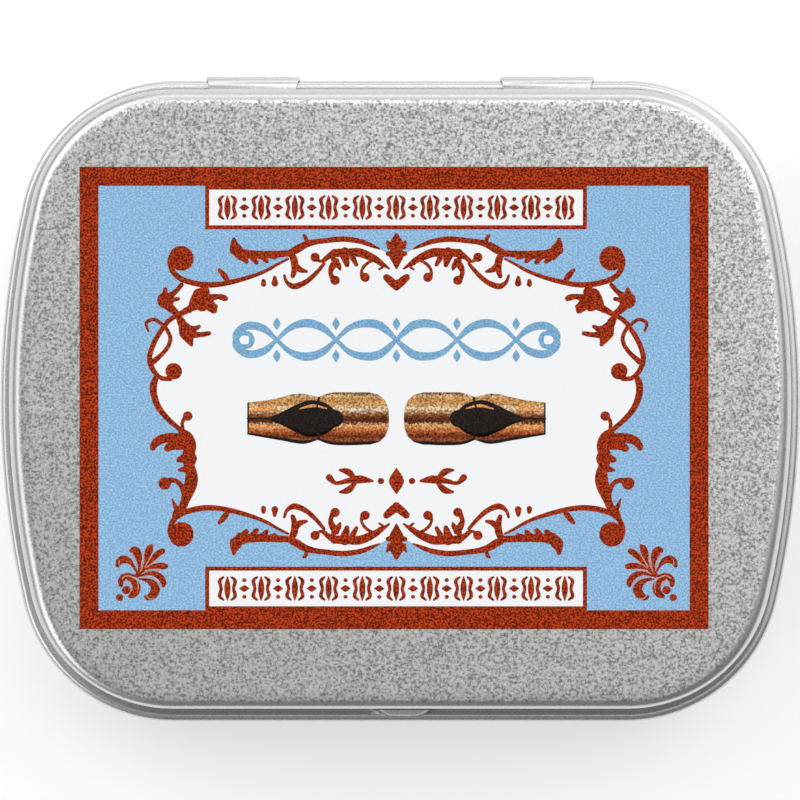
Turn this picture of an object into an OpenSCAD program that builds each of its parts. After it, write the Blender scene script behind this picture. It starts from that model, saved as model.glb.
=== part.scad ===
// Small hinged tin for a set of six broad-edge pen nibs.
// Millimetres. The bottom is at z = 0, the hinge is at the back, on +Y.
// The origin is under the middle of the base.

/* [Tin] */
// Length of the tin over the rolled bead
tin_l = 60; // [56:0.5:90]
// Width of the tin over the rolled bead
tin_w = 48.1; // [46:0.1:60]
// Height of the closed tin
tin_h = 15; // [14:0.5:25]
// Radius of the four corners, on the bead's outside
corner_r = 11.65; // [9:0.05:13]
// Bow of the short ends: half their angle, in turns of 4.35 degrees
end_turns = 3; // [2:1:4]
// Thickness of the tinplate
sheet = 0.25; // [0.2:0.01:0.3]

/* [Base] */
// Height of the rolled bead's centre
bead_z = 9.5; // [8.5:0.1:10]
// Radius of the rolled bead
bead_r = 0.45; // [0.4:0.01:0.5]
// Step from the bead's outside in to the wall below it
wall_step = 0.6; // [0.5:0.01:0.7]
// Outer radius where the wall turns under to the bottom
foot_r = 1.5; // [1:0.1:2.5]
// Step from the bead's outside in to the neck
neck_step = 1.7; // [1.6:0.01:1.9]
// Height of the neck above the bead's centre
neck_h = 3; // [2:0.1:3.5]
// Radius of the hem rolled at the top of the neck
neck_hem_r = 0.2; // [0.15:0.01:0.25]
// Step from the top of the bead down to the ledge inside it
ledge_drop = 0.1; // [0.05:0.01:0.2]

/* [Lid] */
// Step from the bead's outside in to the lid's rim
lid_step = 0.75; // [0.65:0.01:0.8]
// Distance that the lid sits back from the middle of the base
lid_shift = 0.25; // [0:0.01:0.3]
// Radius of the rolled rim of the lid
rim_r = 0.2; // [0.16:0.01:0.22]
// Gap between the top of the bead and the rim
rim_gap = 0.06; // [0.04:0.01:0.1]
// Outer radius of the lid's top edge
lid_edge_r = 1.15; // [0.8:0.05:1.5]

/* [Hinge] */
// Width of a curled hinge tab
tab_w = 7.05; // [5:0.05:9]
// Width of a tab where it leaves the lid's rim
tab_neck_w = 6.5; // [4.5:0.05:8]
// Distance between the middles of the two tabs
tab_pitch = 22.06; // [14:0.02:28]
// Length of the bare hinge rod that runs into the bead past each end of a tab
rod_lap = 0.6; // [0.4:0.05:1]
// Step from the bead down to the bare hinge rod inside a tab
rod_step = 0.02; // [0.01:0.01:0.05]
// Running clearance of a tab round the rod
hinge_clear = 0.08; // [0.05:0.01:0.1]
// Angle past the horizontal at which a tab's curl ends, under the rod
tab_wrap = 150; // [120:5:160]
// Gap between a tab and the window it turns in
window_gap = 0.12; // [0.1:0.01:0.2]

/* [Thumb lip] */
// Width of the lip at the lid's rim
lip_root_w = 4.2; // [3:0.1:8]
// Width of the lip's outer edge
lip_tip_w = 2.2; // [1:0.1:2.8]
// Distance that the lip stands out from the rim
lip_out = 0.67; // [0.5:0.01:0.8]
// Thickness of the lip, with the rim rolled into it
lip_h = 0.3; // [0.26:0.01:0.35]
// Depth of the thumb dish pressed in the lip
lip_dish = 0.14; // [0.05:0.01:0.18]
// Width of the raised edge round the dish
lip_edge = 0.13; // [0.1:0.01:0.2]
// Distance of the lip from the middle of the lid
lip_x = 0.3; // [-2:0.1:2]

/* [Nibs] */
// Length of a nib
nib_l = 33; // [30:0.5:36]
// Outer radius of the half-tube that a nib is pressed from
nib_r = 2.6; // [2.3:0.05:2.8]
// Thickness of the nib's metal
nib_sheet = 0.25; // [0.2:0.01:0.3]
// Height left below the half-tube's centre line
nib_cut = 0.6; // [0.4:0.05:0.8]
// Width of the narrowest tip
tip_min = 0.75; // [0.6:0.05:1]
// Width of the broadest tip
tip_max = 3; // [2:0.05:3.2]
// Length of the straight tip
tip_l = 4; // [3:0.5:5]
// Distance from one nib to the next
nib_pitch = 7.6; // [6.6:0.1:8]
// Width of the slit
slit_w = 0.1; // [0.06:0.01:0.16]
// Length of the slit
slit_l = 8; // [6:0.5:9]
// Radius of the hole at the end of the slit
vent_r = 0.3; // [0.2:0.05:0.35]

/* [Ink reservoirs] */
// Thickness of the reservoir's metal
feed_sheet = 0.2; // [0.15:0.01:0.22]
// Clearance between a reservoir and its nib
feed_clear = 0.04; // [0.02:0.01:0.06]
// Distance from the nib's tip back to the heel end of the strap
strap_back = 14.5; // [14:0.1:16]
// Length of the strap that grips the nib
strap_l = 3.2; // [2.4:0.1:3.6]
// Width of the nib under the strap
waist_w = 3.9; // [3.6:0.05:4]
// Distance that the strap's ends reach in under the nib
strap_hook = 0.55; // [0.3:0.05:0.8]
// Width of the ink leaf at the strap
leaf_w = 3; // [2:0.1:3.4]
// Length of the ink leaf in front of the strap
leaf_l = 9; // [6:0.5:9]

/* [Printed panel] */
// Length of the panel
panel_l = 46.8; // [30:0.1:48]
// Width of the panel
panel_w = 34.4; // [30:0.1:38]
// Distance of the panel from the lid's middle, along the tin
panel_x = -0.45; // [-1:0.05:1]
// Width of the printed border
border_w = 1.4; // [0.8:0.05:2]
// Thickness of the print
coat = 0.03; // [0.02:0.01:0.05]
// Length of each title plate
plate_l = 28.4; // [16:0.1:30]
// Width of each title plate
plate_w = 3.25; // [2.4:0.05:3.6]
// Distance of the title plates and the cartouche from the lid's middle, along the tin
art_x = -0.3; // [-1:0.05:1]
// Length of the white cartouche over the lobes at its ends
cartouche_l = 36.8; // [34:0.1:38]
// Width of the white cartouche over the lobes along its sides
cartouche_w = 23.4; // [21:0.1:24.4]
// Length of the cartouche's straight middle
field_l = 31.4; // [28:0.1:33]
// Width of the cartouche's straight middle
field_w = 16.9; // [14:0.1:18]
// Radius of the two lobes along each side
side_lobe_r = 9; // [6:0.1:10]
// Distance of those lobes from the cartouche's middle
side_lobe_x = 4.1; // [3:0.1:6]
// Radius of the lobe at each end
end_lobe_r = 5.2; // [4:0.1:6]
// Distance that the end lobes sit back from the cartouche's middle
end_lobe_y = 1.9; // [0:0.1:3]

/* [Hidden] */
$fa = 4;
$fs = 0.1;

// Plan of the tin: corner arcs, straight long sides and bowed short ends, all tangent.
// The sine and cosine of one turn are exact short decimals, so the swept pieces meet exactly.
turn_sin = 0.07584;
turn_cos = 0.99712;
bow_angle = end_turns * atan2(turn_sin, turn_cos);
half_w = tin_w / 2;
corner_y = half_w - corner_r;
bow_r = round(corner_y / sin(bow_angle) * 1000) / 1000;
end_r = bow_r + corner_r;
end_x = tin_l / 2 - end_r;
corner_x = end_x + bow_r * cos(bow_angle);
panel_lap = 0.5;
web = bow_r * (1 - cos(bow_angle)) + panel_lap;

// Heights and steps of the base and the lid
neck_top = bead_z + neck_h;
rim_low = bead_z + bead_r + rim_gap;
rim_z = rim_low + rim_r;
rim_share = 0.7; // of the rim's spare radius, that lies inside the skirt
skirt_step = lid_step + rim_r - sheet / 2 - (rim_r - sheet / 2) * rim_share;
edge_step = skirt_step + lid_edge_r;
edge_z = tin_h - lid_edge_r;
foot_step = wall_step + foot_r;
ledge_z = bead_z + bead_r - sheet - ledge_drop;

// Hinge: the rod is the bead itself, bare inside the two windows
hinge_y = half_w - bead_r;
rod_r = bead_r - rod_step;
tab_in = rod_r + hinge_clear;
tab_out = tab_in + sheet;
window_r = tab_out + window_gap;
rim_y = half_w - lid_step + lid_shift - rim_r - hinge_y;
tab_root = 6; // angle that a tab's curl runs on into the rim
tab_start = 90 + atan(-rim_y / (rim_z - bead_z)) + tab_root;
tab_shoulder = 60; // angle up to which a tab has its full width
tab_overlap = 2; // angle that its two widths share

// Places along a nib, from its heel
strap_y = nib_l - strap_back;
waist_margin = 0.4;
waist_y = strap_y - waist_margin;
waist_end = strap_y + strap_l + waist_margin;
shoulder_l = 1;
blade_y = nib_l - tip_l;
nib_count = 6;
tip_step = (tip_max - tip_min) / (nib_count - 1);
leaf_point = 0.08; // half width of the leaf at its point
leaf_root = 0.5; // length of the leaf inside the strap
bend_lap = 0.05; // where the strap's bends run into each other

// A profile swept round the tin, with a flat panel across the middle at panel_z.
// In the profile x is the step in from the outline and y is the height.
// One quarter is made, cut at both middle planes and mirrored.
module swept(panel_z) {
    for (side = [0, 1], end = [0, 1])
        mirror([0, side, 0])
            mirror([end, 0, 0])
                intersection() {
                    cube([tin_l, tin_w, tin_h + 1]);
                    union() {
                        swept_end() children();
                        at_corner() {
                            swept_corner() children();
                            swept_side() children();
                            translate([-corner_x - 1, -corner_y - 1, panel_z])
                                cube([corner_x + 1, corner_y + 1, sheet]);
                        }
                    }
                }
}

// The bowed end, from its seam with the corner back past the middle of the tin
module swept_end() {
    translate([end_x, 0, 0])
        turned(end_turns, 1)
            mirror([0, 1, 0])
                rotate_extrude(angle = bow_angle + 1)
                    from_outline(end_r) children();
}

// The corner, run a little past the long side and trimmed square to it
module swept_corner() {
    intersection() {
        translate([0, 0, -1])
            cube([corner_r, corner_r, tin_h + 2]);
        turned(end_turns, 1)
            rotate_extrude(angle = 91 - bow_angle)
                intersection() {
                    from_outline(corner_r) children();
                    square([corner_r, tin_h]);
                }
    }
}

// The long side, from its seam with the corner back past the middle of the tin
module swept_side() {
    translate([-corner_x - 1, 0, 0])
        rotate([90, 0, 90])
            linear_extrude(corner_x + 1)
                from_outline(corner_r) children();
}

// The middle of a corner, reached through the centre of the bowed end that it is tangent to
module at_corner() {
    translate([end_x, 0, 0])
        turned(end_turns, 1)
            translate([bow_r, 0, 0])
                turned(end_turns, -1)
                    children();
}

// Turns what it holds about Z, by whole turns of 4.35 degrees
module turned(turns, way) {
    if (turns > 0)
        multmatrix([
            [turn_cos, -way * turn_sin, 0, 0],
            [way * turn_sin, turn_cos, 0, 0],
            [0, 0, 1, 0],
            [0, 0, 0, 1]
        ])
            turned(turns - 1, way) children();
    else
        children();
}

module from_outline(r) {
    translate([r, 0])
        mirror([1, 0])
            children();
}

// A quarter ring of sheet, round the origin, in the quadrant of negative x and the given side of y
module quarter_bend(r, side) {
    intersection() {
        difference() {
            circle(r);
            circle(r - sheet);
        }
        translate([-r, side < 0 ? -r : 0])
            square(r);
    }
}

module base_profile() {
    translate([foot_step, 0])
        square([corner_r - foot_step + web, sheet]);
    translate([foot_step, foot_r])
        quarter_bend(foot_r, -1);
    translate([wall_step, foot_r])
        square([sheet, bead_z - foot_r]);
    translate([bead_r, bead_z])
        circle(bead_r);
    translate([bead_r, ledge_z])
        square([neck_step + sheet - bead_r, sheet]);
    translate([neck_step, ledge_z])
        square([sheet, neck_top - neck_hem_r - ledge_z]);
    translate([neck_step + neck_hem_r, neck_top - neck_hem_r])
        circle(neck_hem_r);
}

module lid_profile() {
    translate([lid_step + rim_r, rim_z])
        circle(rim_r);
    translate([skirt_step, rim_z])
        square([sheet, edge_z - rim_z]);
    translate([edge_step, edge_z])
        quarter_bend(lid_edge_r, 1);
    translate([edge_step, tin_h - sheet])
        square([corner_r - edge_step + web, sheet]);
}

module at_tabs() {
    for (side = [-1, 1])
        translate([side * tab_pitch / 2, hinge_y, bead_z])
            rotate([90, 0, 90])
                children();
}

module base() {
    color([0.74, 0.74, 0.72]) {
        difference() {
            swept(0) base_profile();
            at_tabs()
                translate([0, 0, -tab_w / 2 - window_gap])
                    cylinder(r = window_r, h = tab_w + 2 * window_gap);
        }
        at_tabs()
            translate([0, 0, -tab_w / 2 - rod_lap])
                cylinder(r = rod_r, h = tab_w + 2 * rod_lap);
    }
}

// One stretch of a tab's curl, between two angles round the rod
module curl(from, to, width) {
    translate([0, 0, -width / 2])
        rotate([0, 0, from])
            rotate_extrude(angle = to - from)
                translate([tab_in, 0])
                    square([sheet, width]);
}

module lip_plan(inset) {
    rim_edge = half_w - lid_step - lid_shift;
    tip_inset = inset * (lip_root_w - lip_tip_w) / lip_root_w;
    polygon([
        [-lip_root_w / 2 + inset, -rim_edge + rim_r],
        [-lip_tip_w / 2 + tip_inset, -rim_edge - lip_out + inset],
        [lip_tip_w / 2 - tip_inset, -rim_edge - lip_out + inset],
        [lip_root_w / 2 - inset, -rim_edge + rim_r]
    ]);
}

module lid() {
    color([0.78, 0.78, 0.76]) {
        translate([0, lid_shift, 0])
            swept(tin_h - sheet) lid_profile();
        at_tabs() {
            curl(tab_shoulder, tab_start, tab_neck_w);
            curl(-tab_wrap, tab_shoulder + tab_overlap, tab_w);
        }
        translate([lip_x, 0, rim_low])
            difference() {
                linear_extrude(lip_h)
                    lip_plan(0);
                translate([0, 0, lip_h - lip_dish])
                    linear_extrude(lip_dish + 1)
                        lip_plan(lip_edge);
            }
    }
}

// Half of a nib's plan from the waist to the tip, as [half width, distance from the heel]
function blade(tip_w) = [
    for (i = [0:8])
        let (t = i / 8)
            [
                tip_w / 2 + (waist_w - tip_w) / 2 * (0.5 + 0.5 * cos(180 * t)),
                waist_end + (blade_y - waist_end) * t
            ]
];

function both_sides(half) = concat(
    half,
    [for (i = [len(half) - 1:-1:0]) [-half[i][0], half[i][1]]]
);

module nib_plan(tip_w) {
    translate([0, nib_r])
        circle(nib_r);
    polygon(both_sides(concat(
        [[nib_r, nib_r], [nib_r, waist_y - shoulder_l], [waist_w / 2, waist_y]],
        blade(tip_w),
        [[tip_w / 2, nib_l]]
    )));
}

// What lies along Y over a plan, between two radii round the nib's centre line
module curved_sheet(inner, outer, low) {
    intersection() {
        translate([0, nib_l + 1, 0])
            rotate([90, 0, 0])
                difference() {
                    cylinder(r = outer, h = nib_l + 2);
                    translate([0, 0, -1])
                        cylinder(r = inner, h = nib_l + 4);
                }
        translate([0, 0, low])
            linear_extrude(outer + 1)
                children();
    }
}

module seat_nib(number) {
    translate([(number - (nib_count + 1) / 2) * nib_pitch, -nib_l / 2, sheet - nib_cut])
        children();
}

module nib(number) {
    tip_w = tip_min + (number - 1) * tip_step;
    color([0.72, 0.46, 0.27])
        seat_nib(number)
            curved_sheet(nib_r - nib_sheet, nib_r, nib_cut)
                difference() {
                    nib_plan(tip_w);
                    translate([-slit_w / 2, nib_l - slit_l])
                        square([slit_w, slit_l + 1]);
                    translate([0, nib_l - slit_l])
                        circle(vent_r);
                }
}

// Section of the strap: over the nib, down both edges and hooked in under them
module strap_section() {
    over_r = nib_r + feed_clear;
    under_r = nib_r - nib_sheet - feed_clear;
    side_x = waist_w / 2 + feed_clear;
    side_low = sqrt(pow(under_r - feed_sheet, 2) - side_x * side_x);
    side_top = sqrt(over_r * over_r - side_x * side_x) + bend_lap;
    intersection() {
        difference() {
            circle(over_r + feed_sheet);
            circle(over_r);
        }
        translate([-side_x - feed_sheet, 0])
            square([2 * (side_x + feed_sheet), nib_r + 1]);
    }
    for (side = [0, 1])
        mirror([side, 0]) {
            translate([side_x, side_low])
                square([feed_sheet, side_top - side_low]);
            intersection() {
                difference() {
                    circle(under_r);
                    circle(under_r - feed_sheet);
                }
                translate([side_x - strap_hook, side_low])
                    square([strap_hook + bend_lap, nib_r]);
            }
        }
}

module leaf_plan() {
    polygon(both_sides([
        for (i = [0:8])
            let (t = i / 8)
                [
                    leaf_point + (leaf_w / 2 - leaf_point) * pow(cos(90 * t), 0.8),
                    strap_y + strap_l - leaf_root + (leaf_l + leaf_root) * t
                ]
    ]));
}

module reservoir(number) {
    color([0.35, 0.24, 0.16])
        seat_nib(number) {
            translate([0, strap_y + strap_l, 0])
                rotate([90, 0, 0])
                    linear_extrude(strap_l)
                        strap_section();
            curved_sheet(nib_r + feed_clear, nib_r + feed_clear + feed_sheet, 0)
                leaf_plan();
        }
}

module panel_plan(inset) {
    translate([panel_x - panel_l / 2 + inset, lid_shift - panel_w / 2 + inset])
        square([panel_l - 2 * inset, panel_w - 2 * inset]);
}

// A straight middle with two lobes along each side and one at each end
module cartouche_plan() {
    translate([art_x, lid_shift]) {
        square([field_l, field_w], center = true);
        for (x = [-1, 1], y = [-1, 1])
            translate([x * side_lobe_x, y * (cartouche_w / 2 - side_lobe_r)])
                circle(side_lobe_r);
        for (x = [-1, 1])
            translate([x * (cartouche_l / 2 - end_lobe_r), end_lobe_y])
                circle(end_lobe_r);
    }
}

module plates_plan() {
    for (side = [-1, 1])
        translate([art_x, lid_shift + side * (panel_w / 2 - border_w - plate_w / 2)])
            square([plate_l, plate_w], center = true);
}

module printed(tint) {
    color(tint)
        translate([0, 0, tin_h])
            linear_extrude(coat)
                children();
}

module print_border() {
    printed([0.63, 0.17, 0.06])
        difference() {
            panel_plan(0);
            panel_plan(border_w);
        }
}

module print_field() {
    printed([0.53, 0.72, 0.89])
        difference() {
            panel_plan(border_w);
            cartouche_plan();
            plates_plan();
        }
}

module print_cartouche() {
    printed([0.96, 0.96, 0.95]) cartouche_plan();
}

module title_plates() {
    printed([0.96, 0.95, 0.93]) plates_plan();
}

base();
lid();
print_border();
print_field();
print_cartouche();
title_plates();
nib(1);  // nib_1
nib(2);  // nib_2
nib(3);  // nib_3
nib(4);  // nib_4
nib(5);  // nib_5
nib(6);  // nib_6
reservoir(1);  // reservoir_1
reservoir(2);  // reservoir_2
reservoir(3);  // reservoir_3
reservoir(4);  // reservoir_4
reservoir(5);  // reservoir_5
reservoir(6);  // reservoir_6
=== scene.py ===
import math

import bmesh
import bpy
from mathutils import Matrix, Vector


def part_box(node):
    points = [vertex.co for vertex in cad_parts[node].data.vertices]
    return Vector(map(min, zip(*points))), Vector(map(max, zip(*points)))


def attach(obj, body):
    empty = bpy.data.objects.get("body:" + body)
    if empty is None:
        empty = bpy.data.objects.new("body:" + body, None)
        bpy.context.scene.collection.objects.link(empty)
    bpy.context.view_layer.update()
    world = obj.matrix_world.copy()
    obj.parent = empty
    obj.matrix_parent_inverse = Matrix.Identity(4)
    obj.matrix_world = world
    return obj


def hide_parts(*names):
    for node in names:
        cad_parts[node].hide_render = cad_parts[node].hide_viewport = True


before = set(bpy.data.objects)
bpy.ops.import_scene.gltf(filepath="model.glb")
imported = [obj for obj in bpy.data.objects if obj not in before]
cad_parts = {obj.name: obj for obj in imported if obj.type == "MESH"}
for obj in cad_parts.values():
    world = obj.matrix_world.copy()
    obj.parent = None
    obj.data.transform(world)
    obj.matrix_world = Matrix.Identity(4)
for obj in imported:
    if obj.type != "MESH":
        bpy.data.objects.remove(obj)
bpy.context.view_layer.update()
mm = 0.001

# sizes that every piece of the tin shares, in millimetres
tin = {
    "length": 60.0,
    "width": 48.1,
    "height": 15.0,
    "cornerRadius": 11.65,
    "bow": 3 * math.atan2(0.07584, 0.99712),  # half the angle of each bowed end
    "sheet": 0.25,
    "beadRadius": 0.45,
    "beadHeight": 9.5,
    "support": 0.35,  # width of the flat ring inside each rounded edge
    "cornerSteps": 22,
    "endSteps": 16,
    "weld": 0.002,  # points nearer to each other than this are one
    "smoothAngle": 40,  # edges that turn by fewer degrees are shaded smooth
}
cornerY = tin["width"] / 2 - tin["cornerRadius"]
bowRadius = cornerY / math.sin(tin["bow"])
endX = tin["length"] / 2 - bowRadius - tin["cornerRadius"]
cornerX = endX + bowRadius * math.cos(tin["bow"])


def clearSelection():
    if bpy.context.object and bpy.context.object.mode != "OBJECT":
        bpy.ops.object.mode_set(mode="OBJECT")
    bpy.ops.object.select_all(action="DESELECT")


def makeActive(piece):
    clearSelection()
    piece.select_set(True)
    bpy.context.view_layer.objects.active = piece


def editAll(piece, kind="VERT"):
    makeActive(piece)
    bpy.ops.object.mode_set(mode="EDIT")
    bpy.ops.mesh.select_mode(type=kind)
    bpy.ops.mesh.select_all(action="SELECT")


def pick(piece, kind, test):
    # selects the faces whose middle and normal, or edges whose middle and run, pass the test
    bpy.ops.mesh.select_mode(type=kind)
    bpy.ops.mesh.select_all(action="DESELECT")
    grab = bmesh.from_edit_mesh(piece.data)
    grab.normal_update()
    if kind == "FACE":
        for face in grab.faces:
            face.select_set(test(face.calc_center_median() / mm, face.normal))
    else:
        for edge in grab.edges:
            start, stop = edge.verts[0].co, edge.verts[1].co
            edge.select_set(test((start + stop) / 2 / mm, stop - start))
    grab.select_flush_mode()
    bmesh.update_edit_mesh(piece.data)


def closeShell():
    # welds the seam, fills the open ends and turns the faces outwards
    bpy.ops.mesh.select_mode(type="VERT")
    bpy.ops.mesh.select_all(action="SELECT")
    bpy.ops.mesh.remove_doubles(threshold=tin["weld"] * mm)
    bpy.ops.mesh.select_all(action="DESELECT")
    bpy.ops.mesh.select_non_manifold()
    bpy.ops.mesh.fill_holes(sides=0)
    bpy.ops.mesh.select_all(action="SELECT")
    bpy.ops.mesh.normals_make_consistent(inside=False)
    bpy.ops.object.mode_set(mode="OBJECT")


def addModifier(piece, kind, **settings):
    makeActive(piece)
    modifier = piece.modifiers.new(kind.title(), kind)
    for key, value in settings.items():
        setattr(modifier, key, value)
    bpy.ops.object.modifier_apply(modifier=modifier.name)


def roundEdges(piece, width, segments):
    addModifier(
        piece, "BEVEL", width=width * mm, segments=segments,
        limit_method="ANGLE", angle_limit=math.radians(50),
    )


def smooth(piece, degrees):
    makeActive(piece)
    bpy.ops.object.shade_smooth_by_angle(angle=math.radians(degrees))


def join(piece, others):
    clearSelection()
    for other in others:
        other.select_set(True)
    piece.select_set(True)
    bpy.context.view_layer.objects.active = piece
    bpy.ops.object.join()
    return piece


def dress(piece, name, material, body, nodes=()):
    # gives a finished piece its name, finish and body
    makeActive(piece)
    bpy.ops.object.transform_apply(location=True, rotation=True, scale=True)
    piece.name = piece.data.name = name
    piece.data.materials.clear()
    piece.data.materials.append(material)
    for face in piece.data.polygons:
        face.material_index = 0
    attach(piece, body)
    if nodes:
        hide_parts(*nodes)
    return piece


def arc(centreStep, centreHeight, radius, start, end, steps):
    # points of a section, by angle in degrees: 0 is inwards and 90 is up
    points = []
    for i in range(steps + 1):
        angle = math.radians(start + (end - start) * i / steps)
        step = centreStep + radius * math.cos(angle)
        points.append((step, centreHeight + radius * math.sin(angle)))
    return points


def startMaterial(name):
    material = bpy.data.materials.new(name)
    material.use_nodes = True
    nodes = material.node_tree.nodes
    shader = nodes["Principled BSDF"]
    coord = nodes.new("ShaderNodeTexCoord")
    return material, material.node_tree, shader, coord.outputs["Object"]


def addNoise(tree, vector, scale, detail=2.0, roughness=0.5, stretch=None):
    if stretch:
        mapping = tree.nodes.new("ShaderNodeMapping")
        mapping.inputs["Scale"].default_value = stretch
        tree.links.new(vector, mapping.inputs["Vector"])
        vector = mapping.outputs["Vector"]
    noise = tree.nodes.new("ShaderNodeTexNoise")
    noise.inputs["Scale"].default_value = scale
    noise.inputs["Detail"].default_value = detail
    noise.inputs["Roughness"].default_value = roughness
    tree.links.new(vector, noise.inputs["Vector"])
    return noise.outputs["Fac"]


def addRamp(tree, factor, stops):
    ramp = tree.nodes.new("ShaderNodeValToRGB")
    while len(ramp.color_ramp.elements) < len(stops):
        ramp.color_ramp.elements.new(0.5)
    for element, (place, colour) in zip(ramp.color_ramp.elements, stops):
        element.position = place
        element.color = (*colour, 1.0)
    tree.links.new(factor, ramp.inputs["Fac"])
    return ramp.outputs["Color"]


def addMath(tree, operation, first, second):
    node = tree.nodes.new("ShaderNodeMath")
    node.operation = operation
    tree.links.new(first, node.inputs[0])
    if isinstance(second, (int, float)):
        node.inputs[1].default_value = second
    else:
        tree.links.new(second, node.inputs[1])
    return node.outputs["Value"]


def addRange(tree, factor, low, high):
    # the noises lie nearly all between 0.3 and 0.7
    remap = tree.nodes.new("ShaderNodeMapRange")
    remap.inputs["From Min"].default_value = 0.3
    remap.inputs["From Max"].default_value = 0.7
    remap.inputs["To Min"].default_value = low
    remap.inputs["To Max"].default_value = high
    tree.links.new(factor, remap.inputs["Value"])
    return remap.outputs["Result"]


def addBump(tree, shader, height, strength, distance, under=None):
    bump = tree.nodes.new("ShaderNodeBump")
    bump.inputs["Strength"].default_value = strength
    bump.inputs["Distance"].default_value = distance
    tree.links.new(height, bump.inputs["Height"])
    if under:
        tree.links.new(under, bump.inputs["Normal"])
    tree.links.new(bump.outputs["Normal"], shader.inputs["Normal"])
    return bump.outputs["Normal"]


tinFinish = {
    "grain": 5300.0,
    "dark": 0.21,
    "mid": 0.57,
    "light": 0.93,
    "spread": 0.15,
    "warmth": 0.99,  # share of the blue in the grey
    "roughLow": 0.24,
    "roughHigh": 0.38,
    "plain": 0.66,
    # heights between which the embossed grain of the top runs out over the drawn edge
    "grainLow": 14.93,
    "grainHigh": 14.998,
    "edgeGrain": 0.05,  # share of it that is left on the drawn sides
    "relief": 0.35,
    "reliefDepth": 0.006,
    "waves": 70.0,
    "waveRelief": 0.25,
    "waveDepth": 0.05,
}


def makeTinplate(name):
    material, tree, shader, place = startMaterial(name)
    shader.inputs["Metallic"].default_value = 1.0
    grain = addNoise(tree, place, tinFinish["grain"], roughness=0.65)
    dark, middle, light = tinFinish["dark"], tinFinish["mid"], tinFinish["light"]
    warmth = tinFinish["warmth"]
    speckle = addRamp(tree, grain, [
        (0.5 - tinFinish["spread"], (dark, dark, dark * warmth)),
        (0.5, (middle, middle, middle * warmth)),
        (0.5 + tinFinish["spread"], (light, light, light)),
    ])
    height = tree.nodes.new("ShaderNodeSeparateXYZ")
    tree.links.new(place, height.inputs["Vector"])
    flat = tree.nodes.new("ShaderNodeMapRange")
    flat.inputs["From Min"].default_value = tinFinish["grainLow"] * mm
    flat.inputs["From Max"].default_value = tinFinish["grainHigh"] * mm
    flat.inputs["To Min"].default_value = tinFinish["edgeGrain"]
    tree.links.new(height.outputs["Z"], flat.inputs["Value"])
    blend = tree.nodes.new("ShaderNodeMix")
    blend.data_type = "RGBA"
    plain = tinFinish["plain"]
    blend.inputs["A"].default_value = (plain, plain, plain * warmth, 1)
    tree.links.new(flat.outputs["Result"], blend.inputs["Factor"])
    tree.links.new(speckle, blend.inputs["B"])
    tree.links.new(blend.outputs["Result"], shader.inputs["Base Color"])
    rough = addRange(tree, grain, tinFinish["roughHigh"], tinFinish["roughLow"])
    tree.links.new(rough, shader.inputs["Roughness"])
    waves = addNoise(tree, place, tinFinish["waves"], detail=1.0)
    waves = addBump(tree, shader, waves, tinFinish["waveRelief"], tinFinish["waveDepth"] * mm)
    relief = addMath(tree, "MULTIPLY", grain, flat.outputs["Result"])
    addBump(tree, shader, relief, tinFinish["relief"], tinFinish["reliefDepth"] * mm, waves)
    return material


inkFinish = {
    "grain": 7200.0,
    "spread": 0.1,
    "darker": 0.8,  # how far a contrast of 1 takes the specks down and up
    "lighter": 1.3,
    "roughness": 0.4,
    "roughLow": 0.36,
    "roughHigh": 0.48,
    "gloss": 0.08,
    "relief": 0.12,
    "reliefDepth": 0.004,
}


def makeInk(name, colour, contrast):
    material, tree, shader, place = startMaterial(name)
    grain = addNoise(tree, place, inkFinish["grain"], detail=1.0, roughness=0.6)
    low = tuple(c * (1 - inkFinish["darker"] * contrast) for c in colour)
    high = tuple(min(1.0, c * (1 + inkFinish["lighter"] * contrast)) for c in colour)
    spread = inkFinish["spread"]
    shade = addRamp(tree, grain, [(0.5 - spread, low), (0.5, colour), (0.5 + spread, high)])
    tree.links.new(shade, shader.inputs["Base Color"])
    rough = addRange(tree, grain, inkFinish["roughHigh"], inkFinish["roughLow"])
    tree.links.new(rough, shader.inputs["Roughness"])
    shader.inputs["Specular IOR Level"].default_value = inkFinish["gloss"]
    addBump(tree, shader, grain, inkFinish["relief"], inkFinish["reliefDepth"] * mm)
    return material


lidTin = makeTinplate("lidTin")
baseTin = makeTinplate("baseTin")
redInk = makeInk("redInk", (0.28, 0.0262, 0.0036), 0.8)
blueInk = makeInk("blueInk", (0.284, 0.497, 0.73), 0.2)
whiteInk = makeInk("whiteInk", (0.935, 0.945, 0.955), 0.008)
roseInk = makeInk("roseInk", (0.62, 0.33, 0.24), 0.2)
penBlue = makeInk("penBlue", (0.2, 0.41, 0.62), 0.2)
umberInk = makeInk("umberInk", (0.014, 0.01, 0.008), 0.6)
paleInk = makeInk("paleInk", (0.72, 0.3, 0.1), 0.35)

copperFinish = {
    "grain": 5200.0,
    "specks": 7280.0,
    "speckShades": [(0.38, (0.45, 0.4, 0.36)), (0.62, (1.25, 1.25, 1.25))],
    "ragged": 0.05,  # how far the grain moves the edges of the bands
    # share of the picture's height and the colour there, from its lower edge
    "bands": [
        (0.02, (0.12, 0.03, 0.01)), (0.08, (0.36, 0.1, 0.035)), (0.17, (0.13, 0.022, 0.006)),
        (0.25, (0.5, 0.12, 0.03)), (0.32, (0.7, 0.27, 0.09)), (0.38, (0.72, 0.42, 0.2)),
        (0.43, (0.09, 0.022, 0.006)), (0.52, (0.13, 0.035, 0.01)), (0.6, (0.42, 0.17, 0.06)),
        (0.68, (0.84, 0.68, 0.48)), (0.76, (0.66, 0.36, 0.13)), (0.88, (0.62, 0.31, 0.1)),
        (0.94, (0.72, 0.5, 0.28)), (0.98, (0.2, 0.07, 0.025)),
    ],
}


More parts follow.
